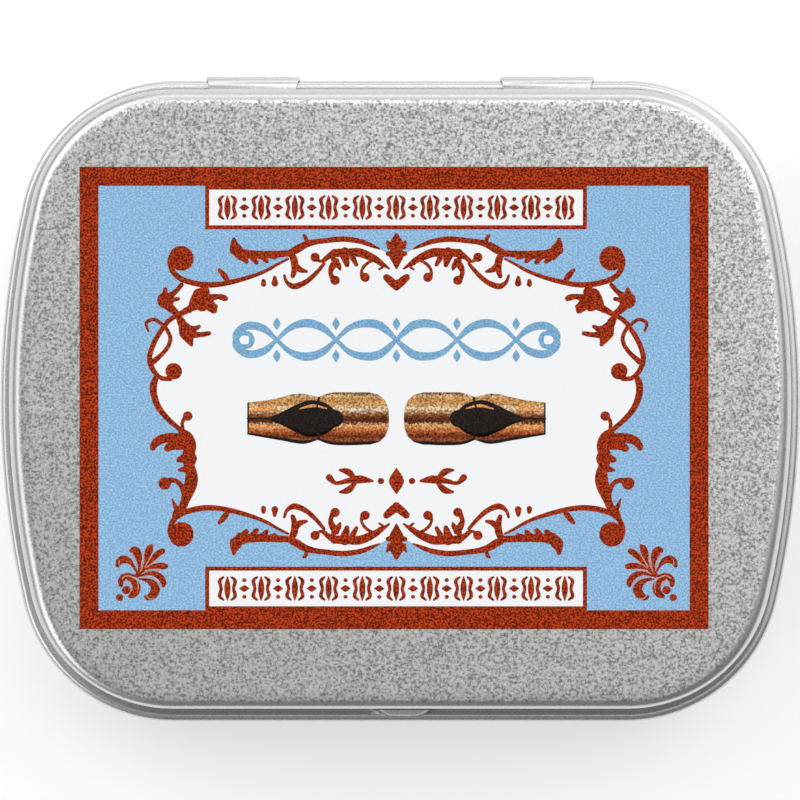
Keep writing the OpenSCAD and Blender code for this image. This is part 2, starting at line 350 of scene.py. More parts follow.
def makeCopperInk(name, low, high):
    material, tree, shader, place = startMaterial(name)
    split = tree.nodes.new("ShaderNodeSeparateXYZ")
    tree.links.new(place, split.inputs["Vector"])
    grain = addNoise(tree, place, copperFinish["grain"], roughness=0.6)
    across = tree.nodes.new("ShaderNodeMapRange")
    across.inputs["From Min"].default_value = low * mm
    across.inputs["From Max"].default_value = high * mm
    tree.links.new(split.outputs["Y"], across.inputs["Value"])
    ragged = addRange(tree, grain, -copperFinish["ragged"], copperFinish["ragged"])
    ragged = addMath(tree, "ADD", across.outputs["Result"], ragged)
    bands = addRamp(tree, ragged, copperFinish["bands"])
    specks = addNoise(tree, place, copperFinish["specks"], detail=1.0)
    speckle = addRamp(tree, specks, copperFinish["speckShades"])
    shade = tree.nodes.new("ShaderNodeMix")
    shade.data_type = "RGBA"
    shade.blend_type = "MULTIPLY"
    shade.inputs["Factor"].default_value = 1.0
    tree.links.new(bands, shade.inputs["A"])
    tree.links.new(speckle, shade.inputs["B"])
    tree.links.new(shade.outputs["Result"], shader.inputs["Base Color"])
    shader.inputs["Roughness"].default_value = inkFinish["roughness"]
    shader.inputs["Specular IOR Level"].default_value = inkFinish["gloss"]
    return material


nibFinish = {
    "cloud": 200.0,
    "spread": 0.2,
    "darker": 0.8,
    "lighter": 1.12,
    "roughLess": 0.06,
    "roughMore": 0.08,
    "matt": 1400.0,
    "drawn": 900.0,
    "drawnStretch": (6.0, 0.3, 6.0),
    "relief": 0.05,
    "reliefDepth": 0.01,
}


def makeNibMetal(name, colour, rough):
    material, tree, shader, place = startMaterial(name)
    shader.inputs["Metallic"].default_value = 1.0
    cloud = addNoise(tree, place, nibFinish["cloud"], detail=3.0)
    low = tuple(c * nibFinish["darker"] for c in colour)
    high = tuple(min(1.0, c * nibFinish["lighter"]) for c in colour)
    spread = nibFinish["spread"]
    shade = addRamp(tree, cloud, [(0.5 - spread, low), (0.5, colour), (0.5 + spread, high)])
    tree.links.new(shade, shader.inputs["Base Color"])
    matt = addNoise(tree, place, nibFinish["matt"])
    matt = addRange(tree, matt, rough - nibFinish["roughLess"], rough + nibFinish["roughMore"])
    tree.links.new(matt, shader.inputs["Roughness"])
    drawn = addNoise(tree, place, nibFinish["drawn"], stretch=nibFinish["drawnStretch"])
    addBump(tree, shader, drawn, nibFinish["relief"], nibFinish["reliefDepth"] * mm)
    return material


nibBronze = makeNibMetal("nibBronze", (0.5, 0.235, 0.095), 0.22)
darkBrass = makeNibMetal("darkBrass", (0.26, 0.165, 0.08), 0.28)
print("materials made")


def slide(distance):
    bpy.ops.mesh.extrude_edges_move(TRANSFORM_OT_translate={"value": (distance * mm, 0, 0)})


def turn(steps, angle, x, y):
    # a positive angle of the spin tool turns clockwise, and the section goes the other way round
    bpy.ops.mesh.spin(steps=steps, angle=-angle, center=(x * mm, y * mm, 0), axis=(0, 0, 1))


def sweepRound(section, shiftY=0.0):
    # the section runs once round the tin: out along the front, round the corners and bowed ends
    clearSelection()
    bpy.ops.mesh.primitive_circle_add(vertices=len(section), radius=mm)
    shell = bpy.context.object
    for vert, (step, height) in zip(shell.data.vertices, section):
        vert.co = Vector((0, step - tin["width"] / 2, height)) * mm
    bpy.ops.object.mode_set(mode="EDIT")
    first, last = section[0], section[-1]
    middle = Vector((0, (first[0] + last[0]) / 2 - tin["width"] / 2, (first[1] + last[1]) / 2))
    pick(shell, "EDGE", lambda place, along: (place - middle).length < 1e-4)
    bpy.ops.mesh.delete(type="EDGE")
    bpy.ops.mesh.select_all(action="SELECT")
    cornerTurn = math.pi / 2 - tin["bow"]
    for side in (1, -1):
        slide(side * cornerX)
        turn(tin["cornerSteps"], cornerTurn, side * cornerX, -side * cornerY)
        turn(tin["endSteps"], 2 * tin["bow"], side * endX, 0)
        turn(tin["cornerSteps"], cornerTurn, side * cornerX, side * cornerY)
        slide(-side * cornerX)
    bpy.ops.mesh.select_all(action="SELECT")
    bpy.ops.transform.translate(value=(0, shiftY * mm, 0))
    closeShell()
    return shell


lidForm = {
    "step": 0.75,
    "shift": 0.25,
    "rimRadius": 0.2,
    "rimHeight": 10.21,
    "edgeRadius": 1.09,
    "frontRadius": 0.68,
    "depthShare": 0.9939,  # the lid sits a little further in at the back than at the front
    "backOff": -0.067,
    "skirtStep": 0.8325,
    "edgeSteps": 14,
    "rimSteps": 14,
    "innerSteps": 8,
    "tightFrom": 3.0,  # where the front's tighter edge starts, in front of the corners' middles
    "tightSpare": 0.5,  # and how far before the edge it is fully tight
}


def makeLidShell():
    form, sheet, height = lidForm, tin["sheet"], tin["height"]
    skirt, rim, edge = form["skirtStep"], form["rimRadius"], form["edgeRadius"]
    edgeStep = skirt + edge
    edgeHeight = height - edge
    rimStep = form["step"] + rim
    outerCut = math.degrees(math.acos((skirt - rimStep) / rim))
    innerCut = math.degrees(math.acos((skirt + sheet - rimStep) / rim))
    section = [(edgeStep + tin["support"], height)]
    section += arc(edgeStep, edgeHeight, edge, 90, 180, form["edgeSteps"])
    section += arc(rimStep, form["rimHeight"], rim, outerCut, 360 + innerCut, form["rimSteps"])
    section += arc(edgeStep, edgeHeight, edge - sheet, 180, 90, form["innerSteps"])
    section += [(edgeStep + tin["support"], height - sheet)]
    return sweepRound(section, form["shift"])


def tightenFront(shell):
    # the drawn edge is tighter along the front than along the back and ends
    edgeHeight = tin["height"] - lidForm["edgeRadius"]
    reach = tin["cornerRadius"] - lidForm["skirtStep"] - lidForm["edgeRadius"]
    change = lidForm["edgeRadius"] - lidForm["frontRadius"]
    blend = reach - lidForm["tightFrom"] - lidForm["tightSpare"]
    for vert in shell.data.vertices:
        x, y, z = vert.co / mm
        drop = lidForm["shift"] - cornerY - y
        share = min(1, max(0, (drop - lidForm["tightFrom"]) / blend))
        outward = Vector((math.copysign(max(0, abs(x) - cornerX), x), -drop, 0))
        beyond = outward.length - reach
        if z < edgeHeight + 1e-4 or share == 0 or beyond < -0.01:
            continue
        angle = math.atan2(z - edgeHeight, beyond)
        move = outward.normalized() * (1 - math.cos(angle))
        move.z = 1 - math.sin(angle)
        vert.co += move * change * share * share * (3 - 2 * share) * mm


hinge = {
    "y": tin["width"] / 2 - tin["beadRadius"],
    "z": tin["beadHeight"],
    "rodRadius": 0.43,
    "inner": 0.51,
    "outer": 0.76,
    "pitch": 22.06,
    "width": 7.05,
    "neckWidth": 6.5,
    "start": 115.4,
    "end": -150.0,
    "steps": 30,
    "taperSteps": 13,  # a tab grows to its full width over these
    "bevel": 0.05,
    "bevelSteps": 3,
    "window": 0.88,
    "windowSpare": 0.24,  # how much longer than a tab its window is, and then the rod
    "rodSpare": 1.2,
    "rodSides": 40,
}


def makeTab(middleX):
    # a strip of sheet that leaves the lid's rim and curls round the bead
    clearSelection()
    bpy.ops.mesh.primitive_circle_add(vertices=4, radius=mm)
    tab = bpy.context.object
    first = math.radians(hinge["start"])
    corners = [(-1, "inner"), (1, "inner"), (1, "outer"), (-1, "outer")]
    for vert, (side, radius) in zip(tab.data.vertices, corners):
        vert.co = Vector((
            middleX + side * hinge["neckWidth"] / 2,
            hinge["y"] + hinge[radius] * math.cos(first),
            hinge["z"] + hinge[radius] * math.sin(first),
        )) * mm
    editAll(tab, "EDGE")
    centre = (middleX * mm, hinge["y"] * mm, hinge["z"] * mm)
    grow = (hinge["width"] / hinge["neckWidth"]) ** (1 / hinge["taperSteps"])
    stepTurn = math.radians(hinge["start"] - hinge["end"]) / hinge["steps"]
    for i in range(hinge["steps"]):
        bpy.ops.mesh.spin(steps=1, angle=stepTurn, center=centre, axis=(1, 0, 0))
        if i < hinge["taperSteps"]:
            bpy.ops.transform.resize(value=(grow, 1, 1), center_override=centre)
    closeShell()
    roundEdges(tab, hinge["bevel"], hinge["bevelSteps"])
    return tab


lip = {
    "x": 0.3,
    "low": 10.01,
    "thick": 0.3,
    "dish": 0.14,
    "slope": 0.38,  # fall of the dish towards the front
    "edge": 0.13,
    "wallSteps": 2,
    "wallInset": 0.04,  # width of each step that the dish's wall goes down in
    "wallShare": 0.3,  # and how much of the dish's depth it takes
    "bevel": 0.03,
    "bevelSteps": 2,
    "out": 0.67,
    # right half of the outline: distance from the middle, share of the way out from the rim
    "outline": [
        (2.62, -0.22), (2.3, 0.02), (1.98, 0.2), (1.72, 0.44), (1.5, 0.68), (1.28, 0.87),
        (1.0, 0.97), (0.6, 1.0),
    ],
}


def makeLip():
    rimY = -(tin["width"] / 2 - lidForm["step"] - lidForm["shift"])
    half = [(x, rimY - share * lip["out"]) for x, share in lip["outline"]]
    points = half + [(-x, y) for x, y in reversed(half)]
    clearSelection()
    bpy.ops.mesh.primitive_circle_add(vertices=len(points), radius=mm, fill_type="NGON")
    plate = bpy.context.object
    for vert, (x, y) in zip(plate.data.vertices, points):
        vert.co = Vector((lip["x"] + x, y, lip["low"])) * mm
    editAll(plate, "FACE")
    bpy.ops.mesh.extrude_region_move(TRANSFORM_OT_translate={"value": (0, 0, lip["thick"] * mm)})
    bpy.ops.mesh.inset(thickness=lip["edge"] * mm, depth=0)
    wallDrop = lip["wallShare"] * lip["dish"]
    for _ in range(lip["wallSteps"]):
        bpy.ops.mesh.inset(thickness=lip["wallInset"] * mm, depth=-wallDrop * mm)
    closeShell()
    dishHeight = lip["low"] + lip["thick"] - lip["wallSteps"] * wallDrop
    for vert in plate.data.vertices:
        if abs(vert.co.z / mm - dishHeight) < 1e-3:
            vert.co.z -= lip["slope"] * max(0, rimY - vert.co.y / mm) * mm
    roundEdges(plate, lip["bevel"], lip["bevelSteps"])
    return plate


lid = makeLidShell()
tightenFront(lid)
editAll(lid)
lidMiddle = (0, lidForm["shift"] * mm, 0)
bpy.ops.transform.resize(value=(1, lidForm["depthShare"], 1), center_override=lidMiddle)
bpy.ops.transform.translate(value=(0, lidForm["backOff"] * mm, 0))
bpy.ops.object.mode_set(mode="OBJECT")
join(lid, [makeTab(-hinge["pitch"] / 2), makeTab(hinge["pitch"] / 2), makeLip()])
smooth(lid, tin["smoothAngle"])
dress(lid, "tinLid", lidTin, "cover", ["lid"])
print("lid made")

baseForm = {
    "wallStep": 0.6,
    "footRadius": 1.5,
    "neckStep": 1.7,
    "neckTop": 12.5,
    "hemRadius": 0.2,
    "ledgeLow": 9.6,
    "footSteps": 10,
    "footInnerSteps": 8,
    "beadSteps": 18,
    "beadInnerSteps": 3,
    "hemSteps": 10,
}


def makeBaseShell():
    form, sheet, foot, radius = baseForm, tin["sheet"], baseForm["footRadius"], tin["beadRadius"]
    footStep = form["wallStep"] + foot
    bead = (radius, tin["beadHeight"])
    wallLow = 360 - math.degrees(math.acos((form["wallStep"] - bead[0]) / radius))
    ledgeTop = math.degrees(math.asin((form["ledgeLow"] + sheet - bead[1]) / radius))
    ledgeUnder = math.degrees(math.asin((form["ledgeLow"] - bead[1]) / radius))
    wallInner = -math.degrees(math.acos((form["wallStep"] + sheet - bead[0]) / radius))
    hem = (form["neckStep"] + form["hemRadius"], form["neckTop"] - form["hemRadius"])
    hemInner = -math.degrees(math.acos((form["neckStep"] + sheet - hem[0]) / form["hemRadius"]))
    section = [(footStep + tin["support"], 0)]
    section += arc(footStep, foot, foot, 270, 180, form["footSteps"])
    section += arc(*bead, radius, wallLow, ledgeTop, form["beadSteps"])
    section += [(form["neckStep"], form["ledgeLow"] + sheet)]
    section += arc(*hem, form["hemRadius"], 180, hemInner, form["hemSteps"])
    section += [(form["neckStep"] + sheet, form["ledgeLow"])]
    section += arc(*bead, radius, ledgeUnder, wallInner, form["beadInnerSteps"])
    section += arc(footStep, foot, foot - sheet, 180, 270, form["footInnerSteps"])
    section += [(footStep + tin["support"], sheet)]
    return sweepRound(section)


def makeRod(middleX, length, radius):
    clearSelection()
    bpy.ops.mesh.primitive_cylinder_add(
        vertices=hinge["rodSides"], radius=radius * mm, depth=length * mm,
        location=(middleX * mm, hinge["y"] * mm, hinge["z"] * mm), rotation=(0, math.pi / 2, 0),
    )
    bpy.ops.object.transform_apply(location=True, rotation=True, scale=True)
    return bpy.context.object


base = makeBaseShell()
tabPlaces = (-hinge["pitch"] / 2, hinge["pitch"] / 2)
for place in tabPlaces:
    cutter = makeRod(place, hinge["width"] + hinge["windowSpare"], hinge["window"])
    addModifier(base, "BOOLEAN", operation="DIFFERENCE", solver="EXACT", object=cutter)
    bpy.data.objects.remove(cutter)
rodLength = hinge["width"] + hinge["rodSpare"]
join(base, [makeRod(place, rodLength, hinge["rodRadius"]) for place in tabPlaces])
smooth(base, tin["smoothAngle"])
dress(base, "tinBase", baseTin, "tray", ["base"])
print("base made")

panel = {
    "middle": (-0.27, 0.37),  # the artwork sits a little off the middle of the lid
    "low": tin["height"] - 0.004,
    "blue": tin["height"] + 0.010,
    "white": tin["height"] + 0.015,
    "line": tin["height"] + 0.019,
    "detail": tin["height"] + 0.0255,
    "runSteps": 4,
    "capAngles": (30, 60, 85),
    "thinnest": 0.02,
    "layers": 11,
    "layerStep": 0.0003,  # keeps strokes that cross each other apart
    "axisLift": 0.00005,  # and these two one group of strokes from the next
    "sideLift": 0.0001,
    "smoothAngle": 30,
    "shoulder": 0.003,
    "apart": 10.0,  # height between the strokes before they are pressed flat
}

# pen strokes as (x, y, width) from the artwork's middle, left half only
ornament = {
    "scrolls": [
        [(-16.02, 10.28, 1.86), (-16, 10.26, 1.86)],
        [(-16.76, 10.36, 0.45), (-16.84, 9.92, 0.41), (-16.63, 9.28, 0.4), (-16.08, 8.77, 0.42),
         (-15.26, 8.47, 0.43), (-14.27, 8.3, 0.43), (-13.16, 8.34, 0.4), (-11.93, 8.59, 0.37),
         (-10.69, 8.95, 0.31), (-9.71, 9.34, 0.27), (-8.82, 9.84, 0.22), (-8.07, 10.22, 0.18)],
        [(-12.5, 8.54, 0.3), (-12.83, 9, 0.46), (-13.19, 9.41, 0.27)],
        [(-12.09, 11.67, 0.3), (-12.06, 11.26, 0.67), (-11.9, 10.89, 0.89), (-11.68, 10.36, 0.45)],
        [(-12.05, 10.89, 0.74), (-11.2, 10.59, 0.67), (-10.01, 10.54, 0.6), (-8.82, 10.59, 0.52),
         (-7.85, 10.65, 0.45)],
        [(-11.57, 10.44, 0.52), (-11.16, 10.05, 0.37)],
        [(-10.75, 10.44, 0.52), (-10.43, 9.98, 0.37)],
        [(-10.01, 10.44, 0.52), (-9.67, 10.07, 0.34)],
        [(-9.26, 10.44, 0.45), (-9.04, 10.32, 0.3)],
        [(-8, 10.63, 0.48), (-7.4, 10.94, 0.6), (-6.76, 11.3, 0.52), (-6.06, 11.49, 0.43),
         (-5.47, 11.56, 0.4), (-3.98, 11.7, 0.42), (-2.75, 11.54, 0.39), (-1.88, 11.24, 0.31),
         (-1.26, 10.97, 0.12)],
        [(-6.62, 11.41, 0.25), (-6.78, 11.85, 0.3), (-6.9, 11.96, 0.22)],
        [(-7.85, 10.62, 0.45), (-7.61, 10.1, 0.57), (-7.58, 9.47, 0.49), (-7.72, 8.94, 0.34)],
        [(-7.52, 9.92, 0.3), (-7.22, 9.46, 0.45), (-6.69, 9.29, 0.22)],
        [(-8.34, 8.98, 0.21), (-8.16, 8.5, 0.28), (-7.63, 8.18, 0.46), (-6.82, 8.46, 0.4),
         (-6.08, 9.07, 0.34), (-5.39, 9.86, 0.25)],
        [(-9.89, 8.58, 0.33), (-9.89, 8.34, 0.4)],
        [(-9.06, 8.85, 0.27), (-9.05, 8.42, 0.52)],
        [(-6.06, 10.35, 0.7), (-6.05, 10.34, 0.7)],
        [(-6.06, 10.29, 0.22), (-5.66, 10.05, 0.25), (-5.28, 10.16, 0.3)],
        [(-5.47, 10.11, 0.25), (-5.02, 10.42, 0.45), (-4.5, 10.65, 0.62), (-3.72, 10.69, 0.62),
         (-2.83, 10.71, 0.67), (-2.12, 10.47, 0.62), (-1.41, 10.1, 0.48), (-0.54, 9.5, 0.15)],
        [(-4.65, 10.14, 0.45), (-4.32, 9.74, 0.45), (-4.19, 9.43, 0.18)],
        [(-3.83, 10.44, 0.74), (-3.68, 9.78, 0.37)],
        [(-4.62, 10.68, 0.62), (-4.61, 10.67, 0.62)],
        [(-3.83, 10.75, 0.71), (-3.82, 10.74, 0.71)],
        [(-3.24, 10.29, 0.45), (-2.98, 9.8, 0.3)],
        [(-1.3, 9.92, 0.34), (-1, 9.69, 0.22), (-1.27, 9.46, 0.18)],
        [(-1.67, 10.14, 0.22), (-2.05, 9.98, 0.24), (-2.43, 9.65, 0.25), (-2.6, 9.25, 0.24),
         (-2.46, 8.89, 0.52)],
        [(-2.34, 8.86, 0.7), (-2.33, 8.85, 0.7)],
        [(-4.47, 10.07, 0.45), (-4.75, 9.69, 0.52), (-4.9, 9.25, 0.37), (-4.77, 8.77, 0.37)],
        [(-4.58, 8.64, 0.7), (-4.56, 8.63, 0.7)],
    ],
    "petals": [
        [(0, 11.18, 0.67), (-0.51, 11.29, 0.45), (-0.69, 11.53, 0.18)],
        [(0, 11.18, 0.67), (-0.57, 11.08, 0.3)],
        [(0, 10.51, 0.67), (-0.63, 10.62, 0.37)],
        [(-0.74, 8.85, 0.52), (-0.41, 8.55, 0.62), (0, 8.18, 0.6)],
    ],
    "axis": [
        [(0, 11.96, 0.37), (0, 11.48, 0.97), (0, 11.11, 1.04), (0, 10.74, 0.89), (0, 10.36, 1.04),
         (0, 9.92, 0.6), (0, 9.55, 0.19)],
        [(0, 8.36, 0.67), (0, 8.12, 0.52)],
    ],
    "sides": [
        [(-17.19, 7.14, 1.25), (-17.17, 7.13, 1.25)],
        [(-17.26, 7.39, 0.67), (-17.2, 7.98, 0.28)],
        [(-17.08, 6.87, 0.74), (-16.67, 6.45, 0.6), (-16.26, 6.15, 0.4)],
        [(-16.85, 7.46, 0.52), (-16.41, 7.81, 0.37), (-15.99, 8.3, 0.34)],
        [(-16.7, 7.17, 0.37), (-16.26, 7.25, 0.31)],
        [(-14.29, 8.24, 0.45), (-14.32, 7.76, 0.67)],
        [(-14.32, 7.76, 0.89), (-14.58, 7.24, 1.41), (-14.47, 6.79, 0.97)],
        [(-14.69, 7.61, 0.89), (-15.07, 6.94, 0.74), (-15.36, 6.38, 0.37)],
        [(-14.25, 7.24, 0.74), (-13.82, 6.7, 0.82), (-13.6, 6.42, 0.55)],
        [(-14.17, 7.22, 0.8), (-13.4, 7.42, 0.42), (-12.95, 7.36, 0.48), (-12.74, 7.28, 0.42)],
        [(-13.88, 6.87, 0.6), (-13.5, 6.68, 0.42)],
        [(-14.92, 6.72, 0.6), (-15.51, 6.45, 0.52), (-16.24, 6.03, 0.37)],
        [(-16.29, 6.02, 0.37), (-16, 5.53, 0.67)],
        [(-15.93, 5.38, 0.67), (-15.59, 4.74, 1.19), (-15.44, 4.26, 0.74), (-15.26, 3.85, 0.3)],
        [(-15.66, 5.01, 0.74), (-15.1, 5.0, 0.5), (-14.68, 5.2, 0.27)],
        [(-15.51, 4.64, 0.74), (-14.72, 4.58, 0.42), (-14.2, 4.64, 0.38), (-13.95, 4.69, 0.34)],
        [(-16.26, 6.08, 0.34), (-16.85, 5.69, 0.37), (-17.28, 5.23, 0.37), (-18, 4.07, 0.39),
         (-18.37, 2.92, 0.4), (-18.16, 2.06, 0.4), (-17.7, 1.48, 0.34), (-17.3, 1.3, 0.33)],
        [(-17.39, 5.31, 0.27), (-18.01, 5.72, 0.27), (-18.61, 5.47, 0.27), (-18.46, 4.84, 0.16)],
        [(-17.18, 5.13, 0.3), (-16.84, 4.44, 0.31), (-16.94, 3.82, 0.33), (-17.43, 3.16, 0.34),
         (-18.09, 2.58, 0.45)],
        [(-16.58, 1.87, 1.25), (-16.57, 1.86, 1.25)],
        [(-17.45, 1.32, 0.34), (-16.85, 1.3, 0.37)],
        [(-17.81, 1.54, 0.37), (-18.06, 0.92, 0.54), (-18.06, 0.17, 0.52), (-17.69, -0.84, 0.46),
         (-16.96, -1.73, 0.4), (-16.08, -2.48, 0.34)],
        [(-15.54, -1.47, 0.73), (-15.53, -1.47, 0.73)],
        [(-15.77, -1.61, 0.3), (-15.94, -1.99, 0.28), (-15.89, -2.51, 0.27)],
        [(-16.11, -2.48, 0.37), (-15.66, -3.03, 0.97), (-15.41, -3.7, 1.04), (-15.44, -4.44, 0.74)],
        [(-15.46, -4.29, 0.97), (-15.42, -4.67, 1.15), (-15.42, -5.19, 0.8), (-15.29, -5.6, 0.85),
         (-15.25, -6.1, 0.97), (-15.33, -6.6, 0.97), (-15.46, -6.97, 0.93), (-15.71, -7.7, 0.68),
         (-15.9, -8.2, 0.6), (-16.3, -8.6, 0.6), (-16.5, -9, 0.45)],
        [(-15.81, -3.13, 0.67), (-16.85, -3.07, 0.71), (-17.64, -3.25, 0.68), (-18.02, -3.58, 0.56),
         (-18.12, -3.8, 0.48)],
        [(-15.81, -3.55, 0.89), (-16.6, -3.62, 0.74), (-17.02, -3.86, 0.56)],
        [(-15.8, -4.6, 0.7), (-16.15, -4.72, 0.46)],
        [(-15.6, -5.38, 0.6), (-16.18, -5.5, 0.22)],
        [(-15.8, -7.22, 0.4), (-16.05, -6.6, 0.36), (-16.48, -6.27, 0.36), (-16.95, -6.27, 0.45)],
        [(-17.25, -6.48, 0.94), (-17.24, -6.48, 0.94)],
        [(-16.67, -7.66, 0.12), (-16.5, -8.1, 0.3), (-16.3, -8.5, 0.45)],
    ],
    "palmettes": [
        [(-19.33, -13.07, 0.15), (-19.61, -12.58, 0.24), (-19.92, -12.24, 0.46),
         (-20.29, -12.13, 0.6), (-20.62, -12.28, 0.54), (-20.76, -12.58, 0.33)],
        [(-19.18, -13.07, 0.15), (-19.13, -12.55, 0.24), (-19.16, -12.06, 0.48),
         (-19.31, -11.63, 0.64), (-19.53, -11.44, 0.58), (-19.7, -11.46, 0.36)],
        [(-19.04, -13.07, 0.18), (-18.71, -12.33, 0.33), (-18.49, -11.68, 0.54),
         (-18.34, -11.29, 0.52), (-18.22, -11.14, 0.3)],
        [(-18.71, -12.8, 0.15), (-18.22, -12.23, 0.33), (-17.77, -11.73, 0.48),
         (-17.4, -11.51, 0.4)],
        [(-18.71, -12.87, 0.15), (-18.19, -12.68, 0.33), (-17.62, -12.6, 0.48),
         (-17.2, -12.65, 0.42)],
        [(-18.99, -13.37, 0.15), (-18.43, -13.17, 0.27), (-17.87, -13.25, 0.46),
         (-17.47, -13.57, 0.48), (-17.32, -13.89, 0.42), (-17.35, -14.09, 0.27)],
        [(-19.11, -13.59, 0.15), (-18.61, -13.67, 0.3), (-18.14, -13.94, 0.54),
         (-17.94, -14.36, 0.7), (-18.14, -14.78, 0.64), (-18.51, -14.98, 0.42),
         (-18.69, -14.91, 0.24)],
        [(-19.38, -13.4, 0.15), (-19.85, -13.27, 0.24), (-20.25, -13.4, 0.46),
         (-20.5, -13.72, 0.46), (-20.5, -14.06, 0.3)],
        [(-20.0, -13.52, 0.27), (-19.61, -13.72, 0.46), (-19.36, -14.06, 0.58),
         (-19.38, -14.46, 0.6), (-19.61, -14.76, 0.52), (-19.85, -14.88, 0.27)],
        [(-20.1, -14.41, 0.64), (-20.09, -14.41, 0.64)],
        [(-20.6, -14.97, 0.54), (-20.59, -14.97, 0.54)],
        [(-19.26, -13.3, 0.4), (-19.11, -13.15, 0.48), (-18.91, -12.97, 0.4)],
    ],
    "veins": [
        [(-19.78, -11.66, 0.05), (-19.48, -12.06, 0.09), (-19.33, -12.55, 0.1),
         (-19.28, -12.97, 0.06)],
        [(-18.79, -11.76, 0.05), (-18.81, -12.3, 0.09), (-18.94, -12.75, 0.1),
         (-19.08, -13.07, 0.06)],
        [(-18.04, -11.61, 0.05), (-18.39, -12.13, 0.09), (-18.71, -12.68, 0.09)],
        [(-17.55, -11.88, 0.05), (-18.04, -12.3, 0.07), (-18.59, -12.75, 0.07)],
        [(-17.18, -12.87, 0.05), (-17.87, -12.9, 0.07), (-18.49, -12.97, 0.09),
         (-18.94, -13.22, 0.06)],
        [(-18.91, -13.42, 0.05), (-18.37, -13.42, 0.07), (-17.82, -13.69, 0.09),
         (-17.55, -14.04, 0.05)],
        [(-18.59, -14.86, 0.05), (-18.34, -15.08, 0.07), (-18.04, -15.01, 0.05)],
        [(-20.42, -13.57, 0.05), (-20.18, -13.37, 0.07), (-19.73, -13.4, 0.09),
         (-19.33, -13.67, 0.09), (-19.21, -14.16, 0.07), (-19.28, -14.59, 0.05)],
        [(-20.28, -13.82, 0.05), (-19.93, -13.74, 0.07), (-19.73, -13.99, 0.07),
         (-19.66, -14.36, 0.05)],
        [(-20.6, -12.2, 0.05), (-20.65, -12.38, 0.07), (-20.62, -12.58, 0.05)],
    ],
}


def inkRun(points):
    # a smooth run through the points of a stroke, rounded off at both ends
    run = []
    ends = [points[0], *points, points[-1]]
    for before, start, stop, after in zip(ends, ends[1:], ends[2:], ends[3:]):
        for i in range(panel["runSteps"]):
            t = i / panel["runSteps"]
            run.append(tuple(
                b + 0.5 * (
                    (c - a) * t
                    + (2 * a - 5 * b + 4 * c - d) * t * t
                    + (3 * b - a - 3 * c + d) * t ** 3
                )
                for a, b, c, d in zip(before, start, stop, after)
            ))
    run.append(points[-1])
    caps = []
    for end, inner in ((run[0], run[1]), (run[-1], run[-2])):
        along = Vector((end[0] - inner[0], end[1] - inner[1])).normalized() * end[2] / 2
        cap = []
        for angle in panel["capAngles"]:
            out, width = math.sin(math.radians(angle)), math.cos(math.radians(angle))
            cap.append((end[0] + along.x * out, end[1] + along.y * out, end[2] * width))
        caps.append(cap)
    return caps[0][::-1] + run + caps[1]


def makeStrokes(strokes, top, mirrorX=False, mirrorY=False, lift=0.0):
    # each stroke is a bevelled path that is pressed flat to the thickness of ink
    clearSelection()
    bpy.ops.curve.primitive_nurbs_path_add()
    line = bpy.context.object
    line.data.splines.clear()
    line.data.bevel_depth = mm
    line.data.bevel_resolution = 2
    line.data.use_fill_caps = True
    line.data.twist_mode = "Z_UP"
    for i, points in enumerate(strokes):
        run = inkRun(points)
        spline = line.data.splines.new("POLY")
        spline.points.add(len(run) - 1)
        for point, (x, y, width) in zip(spline.points, run):
            point.co = (x * mm, y * mm, i * panel["apart"] * mm, 1)
            point.radius = max(width, panel["thinnest"]) / 2
    bpy.ops.object.convert(target="MESH")
    line = bpy.context.object
    for vert in line.data.vertices:
        layer = round(vert.co.z / mm / panel["apart"])
        rise = vert.co.z / mm - layer * panel["apart"]
        level = top + lift + layer % panel["layers"] * panel["layerStep"]
        if rise < -1e-3:
            level = panel["low"]
        elif rise < 1e-3:
            level -= panel["shoulder"]
        vert.co.z = level * mm
    if mirrorX or mirrorY:
        addModifier(line, "MIRROR", use_axis=(mirrorX, mirrorY, False), use_mirror_merge=False)
    line.location = (panel["middle"][0] * mm, panel["middle"][1] * mm, 0)
    bpy.ops.object.transform_apply(location=True)
    return line


def mirrored(strokes):
    return [[(-x, y, width) for x, y, width in points] for points in strokes]


def placed(points, stepX, stepY, flip=1):
    return [(stepX + x, stepY + flip * y, width) for x, y, width in points]


def makePatch(outline, low, top):
    # a flat patch of ink with the given outline
    clearSelection()
    bpy.ops.mesh.primitive_circle_add(vertices=len(outline), radius=mm, fill_type="NGON")
    patch = bpy.context.object
    for vert, (x, y) in zip(patch.data.vertices, outline):
        vert.co = Vector((x, y, low)) * mm
    editAll(patch, "FACE")
    bpy.ops.mesh.extrude_region_move(TRANSFORM_OT_translate={"value": (0, 0, (top - low) * mm)})
    closeShell()
    return patch


def boxOutline(low, high):
    return [(low[0], low[1]), (high[0], low[1]), (high[0], high[1]), (low[0], high[1])]


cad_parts["print_border"].data.materials.clear()
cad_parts["print_border"].data.materials.append(redInk)

fieldBox = [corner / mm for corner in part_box("print_field")]
field = makePatch(boxOutline(*fieldBox), panel["low"], panel["blue"])
dress(field, "blueField", blueInk, "cover", ["print_field"])

